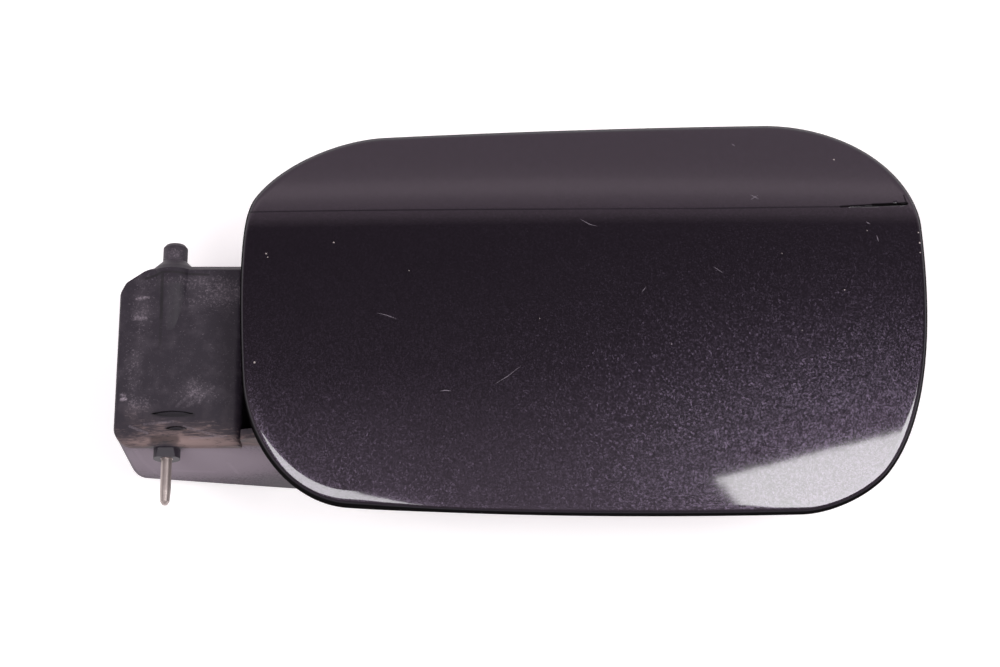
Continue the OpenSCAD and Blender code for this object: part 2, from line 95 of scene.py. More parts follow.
def length(name, description, default_mm, low_mm=0.0, high_mm=1000.0):
    """A length property, given in millimetres and kept in metres."""
    return bpy.props.FloatProperty(
        name=name, description=description, default=default_mm * MM, min=low_mm * MM, max=high_mm * MM,
        precision=5, subtype="DISTANCE", unit="LENGTH",
    )


def colour(name, description, hex_colour):
    """A colour property, given as sRGB hex."""
    return bpy.props.FloatVectorProperty(
        name=name, description=description, default=linear(hex_colour)[:3], min=0, max=1, subtype="COLOR",
    )


class FuelDoorPanelSettings(bpy.types.PropertyGroup):
    """Sizes and colours of the lacquered panel"""

    gap: length("Gap", "From the hinge axis to the panel's hinge side", 21.5, 15, 30)
    width: length("Width", "Width of the panel", 189.5, 150, 250)
    height: length("Height", "Height of the panel", 113.9, 90, 150)
    drop: length("Drop", "From the end of the pin boss down to the panel's lower edge", 19.35, 0, 40)
    skin: length("Skin", "Wall of the panel", 1.2, 0.8, 1.3)
    roll: length("Rolled edge", "Radius of the rolled edge", 1.6, 1.4, 3)
    flange: length("Flange", "Depth of the edge flange under the face", 6.5, 4, 12)
    flange_lean: bpy.props.FloatProperty(
        name="Flange lean", description="How far the flange leans in under the rolled edge",
        default=math.radians(20), min=0, max=math.radians(30), subtype="ANGLE", unit="ROTATION",
    )
    lean: bpy.props.FloatProperty(
        name="Upper lean", description="Lean of the facet above the crease",
        default=math.radians(12), subtype="ANGLE", unit="ROTATION",
    )
    upper_bow: length("Upper bow", "Bow radius above the crease", 300, 100, 2000)
    lower_bow: length("Lower bow", "Bow radius below the crease", 520, 100, 2000)
    width_bow: length("Width bow", "Bow radius along the width", 2200, 500, 9000)
    crease: length("Crease blend", "Width over which the crease turns", 7, 0.5, 10)
    notch_depth: length("Notch depth", "Depth of the shadow notch", 0.8, 0.1, 1.5)
    notch_length: length("Notch length", "Length of the shadow notch", 17, 5, 40)
    soft_reach: length("Soft edge", "How far in from the roll the lower hinge-side corner turns", 2.5, 0, 5)
    soft_radius: length("Soft edge radius", "Radius of that turn", 10.5, 5, 60)
    basecoat: colour("Basecoat", "Colour of the metallic basecoat", "#2a242d")
    flake: colour("Flake", "Colour of the brightest flakes", "#746a7e")


class FuelDoorArmSettings(bpy.types.PropertyGroup):
    """Colours of the moulded hinge arm and the dirt on it"""

    plastic: colour("Plastic", "Colour of the moulded plastic", "#231d27")
    dust: colour("Dust", "Colour of the dry dust", "#9a909a")
    mud: colour("Mud", "Colour of the caked dirt on the lip", "#94807c")


class FuelDoorStageSettings(bpy.types.PropertyGroup):
    """Camera and lamps of the studio"""

    lens: bpy.props.FloatProperty(name="Lens", description="Focal length in mm", default=90, min=20, max=300)
    distance: length("Distance", "From the camera to the point it looks at", 710, 200, 3000)
    elevation: bpy.props.FloatProperty(
        name="Elevation", description="Height of the camera above the horizon",
        default=math.radians(71.5), subtype="ANGLE", unit="ROTATION",
    )
    look_x: length("Look at X", "Where the camera looks, along the hinge arm", 93.1, 0, 300)
    look_y: length("Look at Y", "Where the camera looks, along the hinge axis", 37, 0, 300)
    right_softbox: bpy.props.FloatProperty(
        name="Right softbox", description="Radiance of the right softbox", default=13,
    )
    left_softbox: bpy.props.FloatProperty(
        name="Left softbox", description="Radiance of the left softbox", default=10,
    )


def add(tree, kind, inputs=None, **settings):
    """Adds a node with its settings, and sets or links its inputs."""
    node = tree.nodes.new(kind)
    for name, value in settings.items():
        setattr(node, name, value)
    for name, value in (inputs or {}).items():
        if isinstance(value, bpy.types.NodeSocket):
            tree.links.new(value, node.inputs[name])
        else:
            node.inputs[name].default_value = value
    return node


def new_material(name):
    """An empty node material, with its tree, its shader and the place on the object."""
    material = bpy.data.materials.new(name)
    material.use_nodes = True
    tree = material.node_tree
    place = add(tree, "ShaderNodeTexCoord").outputs["Object"]
    return material, tree, tree.nodes["Principled BSDF"], place


def two_tone(tree, shader, pattern, dark, light):
    """Colours a surface between two hex colours, by a pattern."""
    mix = add(tree, "ShaderNodeMix", {0: pattern, 6: linear(dark), 7: linear(light)}, data_type="RGBA")
    tree.links.new(mix.outputs[2], shader.inputs["Base Color"])


def near_line(tree, place, start, end, reach):
    """1 on a line between two points in mm, 0 from a reach away. Points without a height hold at any."""
    level = len(start) - 2
    a, b = Vector((*start, 0)[:3]) * MM, Vector((*end, 0)[:3]) * MM
    flat = add(tree, "ShaderNodeVectorMath", {0: place, 1: (1, 1, level)}, operation="MULTIPLY")
    from_a = add(tree, "ShaderNodeVectorMath", {0: flat.outputs[0], 1: tuple(a)}, operation="SUBTRACT")
    along = add(tree, "ShaderNodeVectorMath", {
        0: from_a.outputs[0], 1: tuple((b - a) / (b - a).length_squared),
    }, operation="DOT_PRODUCT")
    share = add(tree, "ShaderNodeMath", {0: along.outputs["Value"], 1: 1.0},
        operation="MULTIPLY", use_clamp=True)
    foot = add(tree, "ShaderNodeVectorMath", {0: tuple(b - a), "Scale": share.outputs[0]}, operation="SCALE")
    off = add(tree, "ShaderNodeVectorMath", {0: from_a.outputs[0], 1: foot.outputs[0]}, operation="DISTANCE")
    near = add(tree, "ShaderNodeMapRange", {
        "Value": off.outputs["Value"], "From Min": reach * MM, "From Max": reach * MM / 3,
        "To Min": 0.0, "To Max": 1.0,
    }, interpolation_type="SMOOTHSTEP")
    return near.outputs["Result"]


def line_mask(tree, place, lines):
    """The strongest of some lines, each two points in mm, its reach in mm and its strength."""
    strongest = 0.0
    for start, end, reach, strength in lines:
        near = add(tree, "ShaderNodeMath", {0: near_line(tree, place, start, end, reach), 1: strength},
            operation="MULTIPLY")
        top = add(tree, "ShaderNodeMath", {0: near.outputs[0], 1: strongest}, operation="MAXIMUM")
        strongest = top.outputs[0]
    return strongest


def paint_node(node_name, material):
    """Gives a CAD node its finish."""
    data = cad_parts[node_name].data
    data.materials.clear()
    data.materials.append(material)


def finish_piece(bm, name, material, body=BODY):
    """Makes a bmesh into an object that rides on a body."""
    bmesh.ops.remove_doubles(bm, verts=bm.verts, dist=TOUCH)
    bmesh.ops.recalc_face_normals(bm, faces=bm.faces)
    mesh = bpy.data.meshes.new(name)
    bm.to_mesh(mesh)
    bm.free()
    mesh.materials.append(material)
    for polygon in mesh.polygons:
        polygon.use_smooth = True
    obj = bpy.data.objects.new(name, mesh)
    bpy.context.scene.collection.objects.link(obj)
    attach(obj, body)
    return obj


class Face:
    """The panel's face: its outline, and its height at any point, all in metres."""

    corner_weight = 0.72
    corner_steps = 36
    side_steps = 20
    # How many corners round the outline the soft edge's middle lies
    soft_turn = 2.45
    # The face below the crease climbs towards it by this slope
    rise = 0.008

    def __init__(self, settings):
        self.s = settings
        self.x0 = settings.gap
        self.x1 = settings.gap + settings.width
        self.y0 = -settings.drop
        self.y1 = settings.height - settings.drop
        self.rim = self.outline()
        # On the lower hinge-side corner, a little past its apex
        self.soft_spot = self.rim[round(self.soft_turn * (self.corner_steps + self.side_steps))]
        # The crease runs between these two points of the outline
        self.crease_r = self.rim[4]
        self.crease_l = self.rim[2 * self.corner_steps + self.side_steps + 4]
        self.centre = (self.crease_r + self.crease_l) / 2
        along = (self.crease_r - self.crease_l).normalized()
        self.along = along
        self.across = Vector((-along.y, along.x))

    def toward(self, a, b, distance):
        return a + (b - a).normalized() * distance

    def conic(self, a, v, b, weight, steps):
        """Points of a conic from a to b that is pulled towards v, without b itself."""
        points = []
        for k in range(steps):
            t = k / steps
            q = (1 - t) ** 2 + 2 * weight * t * (1 - t) + t * t
            points.append(((1 - t) ** 2 * a + 2 * weight * t * (1 - t) * v + t * t * b) / q)
        return points

    def outline(self):
        """The panel's outline, anticlockwise from the free side: four corners and four bowed sides."""
        def at(x_mm, y_mm):
            return Vector((x_mm, y_mm)) * MM

        low = Vector((self.x0, self.y0))
        high = Vector((self.x1, self.y1))
        right_top = high + at(-2.8, 0.6)
        left_top = Vector((self.x0, self.y1)) + at(13.9, -5.8)
        left_low = low + at(3.1, 3.3)
        right_low = Vector((self.x1, self.y0)) + at(-21, -0.2)
        right_mid = Vector((self.x1, self.y0)) + at(2.8, 29.2)
        top_mid = Vector(((self.x0 + self.x1) / 2, self.y1)) + at(-1.6, -2.1)
        left_mid = Vector((self.x0, self.y1)) + at(-2.1, -33.3)
        low_mid = Vector(((self.x0 + self.x1) / 2, self.y0)) + at(-10, -2.6)
        right_high = self.toward(right_top, right_mid, 34.9 * MM)
        top_free = self.toward(right_top, top_mid, 40.7 * MM)
        top_hinge = self.toward(left_top, top_mid, 25.2 * MM)
        left_high = self.toward(left_top, left_mid, 22.2 * MM)
        left_foot = self.toward(left_low, left_mid, 32.5 * MM)
        low_hinge = self.toward(left_low, low_mid, 27.2 * MM)
        low_free = self.toward(right_low, low_mid, 15.3 * MM)
        right_foot = self.toward(right_low, right_mid, 14.2 * MM)
        corners = (
            (right_high, right_top, top_free), (top_hinge, left_top, left_high),
            (left_foot, left_low, low_hinge), (low_free, right_low, right_foot),
        )
        sides = (top_mid, left_mid, low_mid, right_mid)
        points = []
        for k, (start, guide, end) in enumerate(corners):
            after = corners[(k + 1) % 4][0]
            points += self.conic(start, guide, end, self.corner_weight, self.corner_steps)
            points += self.conic(end, sides[k], after, 1, self.side_steps)
        return points

    def rim_normal(self, point):
        """Outward direction of the rim beside a point, smooth from edge to edge."""
        n = len(self.rim)
        k = min(range(n), key=lambda i: (self.rim[i] - point).length_squared)
        tangent = self.rim[(k + 1) % n] - self.rim[k - 1]
        before = (self.rim[k] - self.rim[k - 2]).normalized()
        after = (self.rim[(k + 2) % n] - self.rim[k]).normalized()
        share = (point - self.rim[k]).dot(tangent.normalized()) / tangent.length + 0.5
        tangent = before.lerp(after, min(1, max(0, share)))
        return Vector((tangent.y, -tangent.x)).normalized()

    def beside(self, spot, k):
        """Distance from a point to one side of the rim."""
        a, b = self.rim[k], self.rim[(k + 1) % len(self.rim)]
        share = min(1, max(0, (spot - a).dot(b - a) / (b - a).length_squared))
        return (spot - a - (b - a) * share).length

    def soft_edge(self, x, y):
        """How far the face turns down near its edge, at the lower hinge-side corner only."""
        spot = Vector((x, y))
        away = (spot - self.soft_spot).length
        # In full as far as near, and gone where the fade ends
        near, fade = 16 * MM, 26 * MM
        if away > near + fade:
            return 0
        share = min(1, (near + fade - away) / fade)
        inside = min(self.beside(spot, k) for k in range(len(self.rim)))
        depth = max(0, self.s.roll + self.s.soft_reach - inside)
        return share * share * (3 - 2 * share) * depth ** 2 / (2 * self.s.soft_radius)

    def above(self, x, y):
        """Distance above the crease, across it."""
        return (y - self.centre.y) - (x - self.centre.x) * self.along.y / self.along.x

    def height(self, x, y):
        """Height of the face: a bowed sheet that leans back above a soft crease."""
        s = self.s
        u = self.above(x, y)
        z = CROWN - (x - self.centre.x) ** 2 / (2 * s.width_bow)
        if u > 0:
            z -= u * u / (2 * s.upper_bow)
        else:
            z -= u * u / (2 * s.lower_bow)
        z += self.rise * u
        # The lean sets in over the crease's width, most of it below the line
        past = 0.5 * MM
        t = (u + s.crease - past) / s.crease
        turn = math.tan(s.lean) + self.rise
        if t >= 1:
            z -= turn * (u - past + s.crease / 2)
        elif t > 0:
            z -= turn * s.crease * (t ** 3 - t ** 4 / 2)
        return z - self.soft_edge(x, y)


# Painted shade on the panel, as dark lines: in the pinched crease, and in the gap and hook at its free end
CREASE_SHADE_LINES = (
    ((22.6, 64.9), (110, 64.95), 0.34, 0.55),
    ((110, 64.95), (148, 65.2), 0.32, 0.45),
    ((148, 65.2), (188, 66.2), 0.35, 0.5),
    ((188, 66.2), (197, 66.9), 0.5, 0.9),
    ((197, 66.9), (206.6, 67.5), 0.7, 1),
    ((206.6, 67.5), (206, 70.2), 0.35, 0.7),
)


def metallic_lacquer(settings):
    """Metallic basecoat under clear lacquer, sprayed: flakes glint under a mirror-smooth skin."""
    material, tree, shader, place = new_material("metallic_lacquer")
    straight = add(tree, "ShaderNodeNewGeometry").outputs["Normal"]
    # Real flakes are 0.03 mm; drawn at 0.3 mm so that they show
    flakes = add(tree, "ShaderNodeTexVoronoi", {"Vector": place, "Scale": 1 / (0.3 * MM)})
    cloud = add(tree, "ShaderNodeTexNoise", {"Vector": place, "Scale": 1 / (14 * MM), "Detail": 3.0})
    tone = add(tree, "ShaderNodeSeparateColor", {"Color": flakes.outputs["Color"]})
    bright = add(tree, "ShaderNodeMapRange", {
        "Value": tone.outputs["Red"], "From Min": 0.4, "From Max": 1.0, "To Min": 0.0, "To Max": 0.05,
    })
    coat = add(tree, "ShaderNodeMix", {
        0: bright.outputs["Result"], 6: (*settings.basecoat, 1), 7: (*settings.flake, 1),
    }, data_type="RGBA")
    # Each flake lies a little askew in the coat
    askew = add(tree, "ShaderNodeVectorMath", {0: flakes.outputs["Color"], 1: (0.5, 0.5, 0.5)},
        operation="SUBTRACT")
    tilt = add(tree, "ShaderNodeVectorMath", {0: askew.outputs[0], "Scale": 0.17}, operation="SCALE")
    sway = add(tree, "ShaderNodeVectorMath", {0: straight, 1: tilt.outputs[0]}, operation="ADD")
    lie = add(tree, "ShaderNodeVectorMath", {0: sway.outputs[0]}, operation="NORMALIZE")
    tree.links.new(lie.outputs[0], shader.inputs["Normal"])
    # Painted shade: where the edge rolls over, and in the pinched crease, the base colour turns near black,
    # and the coat, metal and shine fade there too
    upright = add(tree, "ShaderNodeSeparateXYZ", {"Vector": straight})
    under = add(tree, "ShaderNodeMapRange", {
        "Value": upright.outputs["Z"], "From Min": 0.86, "From Max": 0.6, "To Min": 0.0, "To Max": 1.0,
    }, interpolation_type="SMOOTHSTEP")
    edge = add(tree, "ShaderNodeMath", {
        0: under.outputs["Result"], 1: line_mask(tree, place, CREASE_SHADE_LINES),
    }, operation="MAXIMUM")
    # Painted shade: the basecoat mixed towards near black by that mask
    painted_shade = add(tree, "ShaderNodeMix", {
        0: edge.outputs[0], 6: coat.outputs[2], 7: linear("#070607"),
    }, data_type="RGBA")
    tree.links.new(painted_shade.outputs[2], shader.inputs["Base Color"])
    polish = add(tree, "ShaderNodeMapRange", {"Value": edge.outputs[0], "To Min": 1.0, "To Max": 0.05})
    tree.links.new(polish.outputs["Result"], shader.inputs["Coat Weight"])
    metal = add(tree, "ShaderNodeMapRange", {"Value": edge.outputs[0], "To Min": 0.8, "To Max": 0.0})
    tree.links.new(metal.outputs["Result"], shader.inputs["Metallic"])
    rough = add(tree, "ShaderNodeMapRange", {"Value": cloud.outputs["Fac"], "To Min": 0.25, "To Max": 0.28})
    dull = add(tree, "ShaderNodeMix", {0: edge.outputs[0], 2: rough.outputs["Result"], 3: 0.6})
    tree.links.new(dull.outputs[0], shader.inputs["Roughness"])
    # Orange peel of the sprayed lacquer, about 5 mm from crest to crest
    peel = add(tree, "ShaderNodeTexNoise", {"Vector": place, "Scale": 1 / (5 * MM), "Detail": 1.0})
    skin = add(tree, "ShaderNodeBump", {
        "Height": peel.outputs["Fac"], "Strength": 1.0, "Distance": 0.004 * MM,
    })
    tree.links.new(skin.outputs["Normal"], shader.inputs["Coat Normal"])
    shader.inputs["Specular IOR Level"].default_value = 0.0
    shader.inputs["Coat Roughness"].default_value = 0.05
    shader.inputs["Coat IOR"].default_value = 1.5
    return material


def scratched_lacquer():
    """Bruised clear lacquer: a scratch breaks the shine and scatters light as a pale line."""
    material, tree, shader, place = new_material("scratched_lacquer")
    grit = add(tree, "ShaderNodeTexNoise", {"Vector": place, "Scale": 1 / (0.8 * MM), "Detail": 2.0})
    two_tone(tree, shader, grit.outputs["Fac"], "#3d373f", "#8d8590")
    shader.inputs["Roughness"].default_value = 0.6
    return material


def chipped_primer():
    """Stone chips: the lacquer is gone and the pale primer under it shows, matt and dusty."""
    material, tree, shader, place = new_material("chipped_primer")
    grit = add(tree, "ShaderNodeTexNoise", {"Vector": place, "Scale": 1 / (0.4 * MM), "Detail": 2.0})
    two_tone(tree, shader, grit.outputs["Fac"], "#6c6468", "#d6ccc6")
    shader.inputs["Roughness"].default_value = 0.8
    return material


def moulded_nylon(name, plastic, dust, mud, dust_and_painted_light_patches=(), lines=(), scuffs_and_highlight=()):
    """Glass-filled nylon or its like, moulded black: a dull satin skin with fine grain, greyed by dust, with
    painted shade, painted light and a painted highlight where the arm's tables set them.
    """
    material, tree, shader, place = new_material(name)
    # Spark-eroded grain is 0.1 mm; drawn at 0.4 mm
    grain = add(tree, "ShaderNodeTexNoise", {"Vector": place, "Scale": 1 / (0.4 * MM), "Detail": 3.0})
    smear = add(tree, "ShaderNodeTexNoise", {
        "Vector": place, "Scale": 1 / (5 * MM), "Detail": 6.0, "Roughness": 0.65,
    })
    speck = add(tree, "ShaderNodeTexNoise", {
        "Vector": place, "Scale": 1 / (0.6 * MM), "Detail": 4.0, "Roughness": 0.75,
    })
    # Wiped dirt runs along the lip: the same specks, drawn out along it
    drawn = add(tree, "ShaderNodeVectorMath", {0: place, 1: (0.22, 1.3, 1)}, operation="MULTIPLY")
    streak = add(tree, "ShaderNodeTexNoise", {
        "Vector": drawn.outputs[0], "Scale": 1 / (0.9 * MM), "Detail": 4.0, "Roughness": 0.7,
        "Distortion": 0.6,
    })
    part = add(tree, "ShaderNodeSeparateXYZ", {"Vector": place})
    lip = add(tree, "ShaderNodeMapRange", {
        "Value": part.outputs["Y"], "From Min": 15 * MM, "From Max": 8 * MM, "To Min": 0.0, "To Max": 1.0,
    })
    # Only the deck is muddy, not the walls under it
    level = add(tree, "ShaderNodeMapRange", {
        "Value": part.outputs["Z"], "From Min": 1 * MM, "From Max": 3 * MM, "To Min": 0.0, "To Max": 1.0,
    })
    top = add(tree, "ShaderNodeMath", {0: lip.outputs["Result"], 1: level.outputs["Result"]},
        operation="MULTIPLY")
    fine = add(tree, "ShaderNodeMix", {
        0: top.outputs[0], 2: speck.outputs["Fac"], 3: streak.outputs["Fac"],
    })
    dust_and_painted_light = 0.0
    # Each patch adds dust, or takes it away where its amount is negative; the arm uses some as painted light
    # and painted shade
    for centre, reach, amount in dust_and_painted_light_patches:
        off = add(tree, "ShaderNodeVectorMath", {0: place, 1: tuple(c * MM for c in centre)},
            operation="SUBTRACT")
        out = add(tree, "ShaderNodeVectorMath", {0: off.outputs[0], 1: tuple(r * MM for r in reach)},
            operation="DIVIDE")
        far = add(tree, "ShaderNodeVectorMath", {0: out.outputs[0]}, operation="LENGTH")
        near = add(tree, "ShaderNodeMapRange", {
            "Value": far.outputs["Value"], "From Min": 1.0, "From Max": 0.0, "To Min": 0.0, "To Max": amount,
        }, interpolation_type="SMOOTHSTEP")
        dust_and_painted_light = add(tree, "ShaderNodeMath", {0: dust_and_painted_light, 1: near.outputs["Result"]}, operation="ADD").outputs[0]
    # A thin veil, smeared, sharp specks where the dirt lies thicker, and an even film where it is caked; each
    # patch raises or clears all three, also where it is painted light and shade
    smeared = add(tree, "ShaderNodeMath", {0: smear.outputs["Fac"], 1: dust_and_painted_light}, operation="ADD")
    veil = add(tree, "ShaderNodeMapRange", {
        "Value": smeared.outputs[0], "From Min": 0.48, "From Max": 1.0, "To Min": 0.0, "To Max": 0.14,
    })
    spread = add(tree, "ShaderNodeMath", {0: dust_and_painted_light, 1: 0.55}, operation="MULTIPLY")
    specked = add(tree, "ShaderNodeMath", {0: fine.outputs[0], 1: spread.outputs[0]}, operation="ADD")
    specks = add(tree, "ShaderNodeMapRange", {
        "Value": specked.outputs[0], "From Min": 0.6, "From Max": 0.8, "To Min": 0.0, "To Max": 0.42,
    })
    loose = add(tree, "ShaderNodeMath", {0: veil.outputs["Result"], 1: specks.outputs["Result"]},
        operation="ADD")
    film = add(tree, "ShaderNodeMapRange", {
        "Value": dust_and_painted_light, "From Min": 0.45, "From Max": 0.8, "To Min": 0.0, "To Max": 0.3,
    })
    dusty = add(tree, "ShaderNodeMath", {0: loose.outputs[0], 1: film.outputs["Result"]},
        operation="ADD", use_clamp=True)
    shade = add(tree, "ShaderNodeMix", {
        0: top.outputs[0], 6: (*dust, 1), 7: (*mud, 1),
    }, data_type="RGBA")
    mix = add(tree, "ShaderNodeMix", {
        0: dusty.outputs[0], 6: (*plastic, 1), 7: shade.outputs[2],
    }, data_type="RGBA")
    # Painted shade: the given lines darken the plastic towards near black
    shade_lines = line_mask(tree, place, lines)
    dark = add(tree, "ShaderNodeMix", {0: shade_lines, 6: mix.outputs[2], 7: linear("#0e0b0f")}, data_type="RGBA")
    # Scuffs, caked fibres and the painted highlight are broken up by the same specks
    patchy = add(tree, "ShaderNodeMapRange", {
        "Value": speck.outputs["Fac"], "From Min": 0.4, "From Max": 0.6, "To Min": 0.3, "To Max": 1.0,
    })
    scuffs_and_highlight_mask = add(tree, "ShaderNodeMath", {
        0: line_mask(tree, place, scuffs_and_highlight), 1: patchy.outputs["Result"],
    }, operation="MULTIPLY")
    worn = add(tree, "ShaderNodeMix", {0: scuffs_and_highlight_mask.outputs[0], 6: dark.outputs[2], 7: (*dust, 1)},
        data_type="RGBA")
    tree.links.new(worn.outputs[2], shader.inputs["Base Color"])
    rough = add(tree, "ShaderNodeMapRange", {
        "Value": dusty.outputs[0], "From Min": 0.0, "From Max": 0.5, "To Min": 0.5, "To Max": 0.9,
    })
    tree.links.new(rough.outputs["Result"], shader.inputs["Roughness"])
    bump = add(tree, "ShaderNodeBump", {
        "Height": grain.outputs["Fac"], "Strength": 0.35, "Distance": 0.05 * MM,
    })
    tree.links.new(bump.outputs["Normal"], shader.inputs["Normal"])
    shader.inputs["Specular IOR Level"].default_value = 0.4
    return material


def turned_steel():
    """Bright steel rod, turned and tumbled: fine rings round its length and a slightly dull shine."""
    material, tree, shader, place = new_material("turned_steel")
    rings = add(tree, "ShaderNodeTexWave", {
        "Vector": place, "Scale": 1 / (2.4 * MM), "Distortion": 1.5, "Detail": 2.0, "Detail Scale": 3.0,
    }, bands_direction="Y")
    stain = add(tree, "ShaderNodeTexNoise", {"Vector": place, "Scale": 1 / (2.5 * MM), "Detail": 4.0})
    two_tone(tree, shader, stain.outputs["Fac"], "#9a8e8b", "#c0b6b2")
    rough = add(tree, "ShaderNodeMapRange", {"Value": stain.outputs["Fac"], "To Min": 0.36, "To Max": 0.5})
    tree.links.new(rough.outputs["Result"], shader.inputs["Roughness"])
    bump = add(tree, "ShaderNodeBump", {
        "Height": rings.outputs["Fac"], "Strength": 0.15, "Distance": 0.02 * MM,
    })
    tree.links.new(bump.outputs["Normal"], shader.inputs["Normal"])
    shader.inputs["Metallic"].default_value = 1.0
    return material


def zinc_plate(name, dark, light):
    """Zinc-plated steel: a cool, slightly cloudy metal with a soft shine."""
    material, tree, shader, place = new_material(name)
    cloud = add(tree, "ShaderNodeTexNoise", {"Vector": place, "Scale": 1 / (1.6 * MM), "Detail": 4.0})
    two_tone(tree, shader, cloud.outputs["Fac"], dark, light)
    rough = add(tree, "ShaderNodeMapRange", {"Value": cloud.outputs["Fac"], "To Min": 0.32, "To Max": 0.5})
    tree.links.new(rough.outputs["Result"], shader.inputs["Roughness"])
    shader.inputs["Metallic"].default_value = 1.0
    return material


def moulded_rubber():
    """EPDM rubber, moulded: black and matt, greyed a little where it is handled."""
    material, tree, shader, place = new_material("moulded_rubber")
    bloom = add(tree, "ShaderNodeTexNoise", {"Vector": place, "Scale": 1 / (3 * MM), "Detail": 4.0})
    two_tone(tree, shader, bloom.outputs["Fac"], "#161516", "#333032")
    shader.inputs["Roughness"].default_value = 0.75
    shader.inputs["Specular IOR Level"].default_value = 0.4
    return material


class FUELDOOR_OT_panel(bpy.types.Operator):
    """Build the lacquered panel with its crease, rolled edge, flange and screw towers"""

    bl_idname = "fueldoor.panel"
    bl_label = "Lacquered panel"

    cell = 2 * MM
    # Rows of finer cells along the crease, below and above its line
    fine_cell = 0.5 * MM
    fine_below = 15
    fine_above = 2
    margin = 6 * MM
    merge = 0.06 * MM
    sliver = 0.02 * MM
    strip = 1 * MM
    strips = 4
    roll_steps = 12
    notch_inset = 3 * MM
    notch_low = 1 * MM
    notch_high = 1.5 * MM
    notch_reach = 12 * MM
    notch_wall = 0.04 * MM

    def execute(self, context):
        settings = context.scene.fuel_door_panel
        face = Face(settings)
        bm = bmesh.new()
        self.lay_sheet(bm, face)
        edges, ring = self.roll_edge(bm, face, settings)
        self.drop_flange(bm, face, settings, edges, ring)
        self.line_wall(bm, settings)
        self.cut_notch(bm, face, settings)
        self.add_towers(bm, face, settings)
        panel = finish_piece(bm, "lacquered_panel", metallic_lacquer(settings))
        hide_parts("outer_panel")
        return {"FINISHED"}

    def lay_sheet(self, bm, face):
        """A grid along the crease, cut short of the outline, then raised to the face."""
        reach = Vector((face.x1 - face.x0, face.y1 - face.y0)) / 2 + Vector((self.margin, self.margin))
        columns = round(2 * reach.x / self.cell)
        rows = round(2 * reach.y / self.cell)
        bmesh.ops.create_grid(bm, x_segments=columns, y_segments=rows, size=1)
        bmesh.ops.scale(bm, verts=bm.verts, vec=(reach.x, reach.y, 1))
        turn = Matrix.Rotation(math.atan2(face.along.y, face.along.x), 4, "Z")
        middle = Vector(((face.x0 + face.x1) / 2, (face.y0 + face.y1) / 2, 0))
        bmesh.ops.transform(bm, matrix=Matrix.Translation(middle) @ turn, verts=bm.verts)
        across = face.across.to_3d()
        for k in range(-self.fine_below, self.fine_above + 1):
            spot = face.centre.to_3d() + across * (k * self.fine_cell)
            self.bisect(bm, bm.faces[:], spot, across)
        n = len(face.rim)
        for k in range(n):
            a, b = face.rim[k], face.rim[(k + 1) % n]
            outward = Vector((b.y - a.y, a.x - b.x)).normalized()
            spot = a - outward * (face.s.roll + self.strips * self.strip)
            self.bisect(bm, bm.faces[:], spot.to_3d(), outward.to_3d(), clear_outer=True)
        bmesh.ops.remove_doubles(bm, verts=bm.verts, dist=self.merge)
        bmesh.ops.dissolve_degenerate(bm, edges=bm.edges, dist=self.sliver)
        for vert in bm.verts:
            vert.co.z = face.height(vert.co.x, vert.co.y)

    def bisect(self, bm, faces, spot, normal, clear_outer=False):
        # A dict keeps its order, so that each run makes the same mesh
        geometry = dict.fromkeys(faces)
        for f in faces:
            geometry.update(dict.fromkeys(f.edges))
            geometry.update(dict.fromkeys(f.verts))
        bmesh.ops.bisect_plane(
            bm, geom=list(geometry), dist=TOUCH, plane_co=spot, plane_no=normal, clear_outer=clear_outer,
        )

    def cut_notch(self, bm, face, settings):
        """A wedge that opens along the free end of the crease, sunk into the sheet."""
        end = face.toward(face.crease_r, face.crease_l, self.notch_inset)
        start = face.toward(end, face.crease_l, settings.notch_length)
        low = end + Vector((0, self.notch_low))
        high = end + Vector((0, self.notch_high))
        sides = ((start, low), (low, high), (high, start))
        middle = (start + end) / 2

        def close():
            return [
                f for f in bm.faces
                if f.normal.z > 0.5 and (f.calc_center_median().xy - middle).length < self.notch_reach
            ]

        for a, b in sides:
            outward = Vector((b.y - a.y, a.x - b.x)).normalized()
            self.bisect(bm, close(), Vector((a.x, a.y, 0)), outward.to_3d())
        inside = []
        for f in close():
            c = f.calc_center_median().xy
            if all((c - a).dot(Vector((b.y - a.y, a.x - b.x))) < 0 for a, b in sides):
                inside.append(f)
        bmesh.ops.inset_region(bm, faces=inside, thickness=self.notch_wall)
        for vert in {v for f in inside for v in f.verts}:
            vert.co.z -= settings.notch_depth

    def next_ring(self, bm, edges, ring):
        """Extrudes the open edge; each new point keeps its foot on the sheet and its way out."""
        made = bmesh.ops.extrude_edge_only(bm, edges=edges)["geom"]
        edges = [g for g in made if isinstance(g, bmesh.types.BMEdge) and g.is_boundary]
        new = {}
        for v in {v for e in edges for v in e.verts}:
            old = next(e.other_vert(v) for e in v.link_edges if e.other_vert(v) in ring)
            new[v] = ring[old]
        return edges, new

    def roll_edge(self, bm, face, settings):
        """Carries the sheet on to its rolled edge in strips, then rolls it over and under in steps."""
        edges = [e for e in bm.edges if e.is_boundary]
        ring = {v: (v.co.xy.copy(), face.rim_normal(v.co.xy)) for e in edges for v in e.verts}
        for k in range(1, self.strips + 1):
            edges, ring = self.next_ring(bm, edges, ring)
            for v, (foot, outward) in ring.items():
                spot = foot + outward * k * self.strip
                v.co = (*spot, face.height(*spot))
        reach = self.strips * self.strip
        for k in range(1, self.roll_steps + 1):
            angle = math.pi / 2 - (math.pi / 2 + settings.flange_lean) * k / self.roll_steps
            edges, ring = self.next_ring(bm, edges, ring)
            for v, (foot, outward) in ring.items():
                spot = foot + outward * (reach + settings.roll * math.cos(angle))
                v.co = (*spot, face.height(*spot) - settings.roll * (1 - math.sin(angle)))
        return edges, ring

